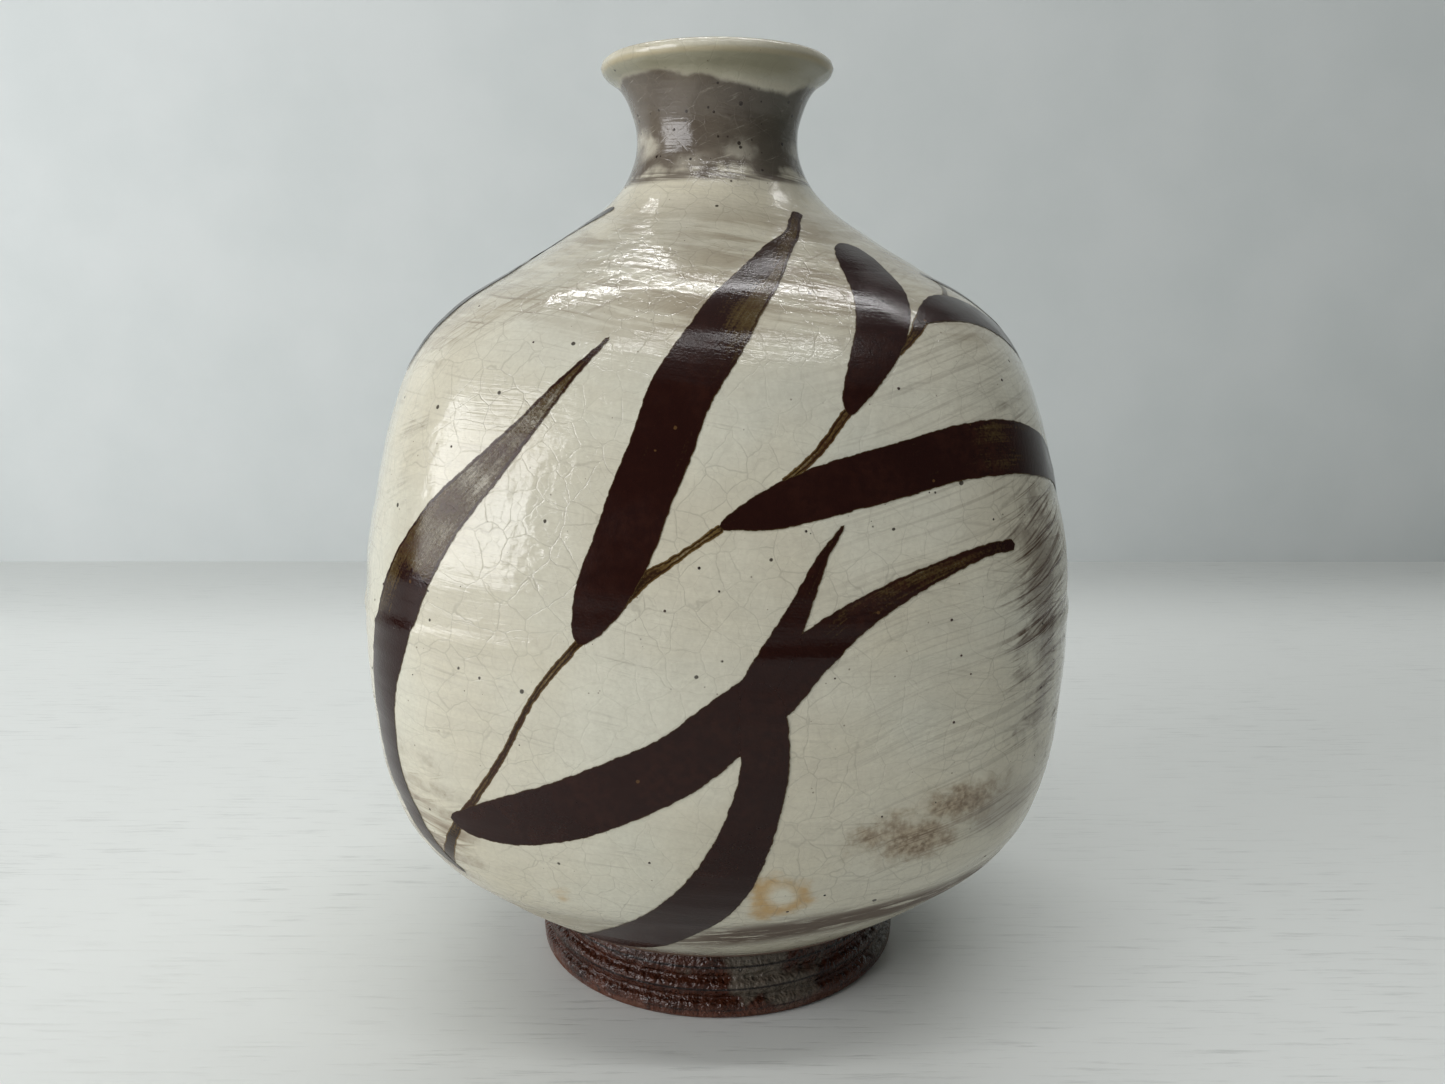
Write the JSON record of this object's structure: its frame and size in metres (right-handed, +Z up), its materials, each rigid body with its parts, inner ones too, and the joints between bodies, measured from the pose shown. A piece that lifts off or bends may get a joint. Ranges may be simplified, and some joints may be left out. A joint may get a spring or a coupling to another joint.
{
  "type": "sake bottle",
  "caption": "Squared stoneware flask with a round flared neck and a turned foot ring, white slip, clear crackle glaze and dark brushed leaves.",
  "frame": {"origin": "middle of the foot ring, in the plane it stands on", "axes": "+Z up through the mouth; the painted face looks along -Y; the other flat faces look along +Y, +X and -X"},
  "size_m": [0.1534, 0.1534, 0.2],
  "materials": {
    "stoneware_clay": "matte",
    "luting_slip": "matte",
    "white_slip": "satin",
    "clear_glaze": "gloss",
    "inner_glaze": "gloss",
    "foot_glaze": "gloss"
  },
  "bodies": {
    "root": {"foot_ring": "stoneware_clay", "foot_iron_glaze": "foot_glaze", "foot_luting": "luting_slip", "lower_bowl": "stoneware_clay", "lower_white_slip": "white_slip", "lower_clear_glaze": "clear_glaze", "lower_inner_glaze": "inner_glaze", "waist_luting": "luting_slip", "upper_bowl": "stoneware_clay", "upper_white_slip": "white_slip", "upper_clear_glaze": "clear_glaze", "upper_inner_glaze": "inner_glaze", "neck_luting": "luting_slip", "neck_collar": "stoneware_clay", "neck_white_slip": "white_slip", "neck_clear_glaze": "clear_glaze"}
  },
  "joints": []
}
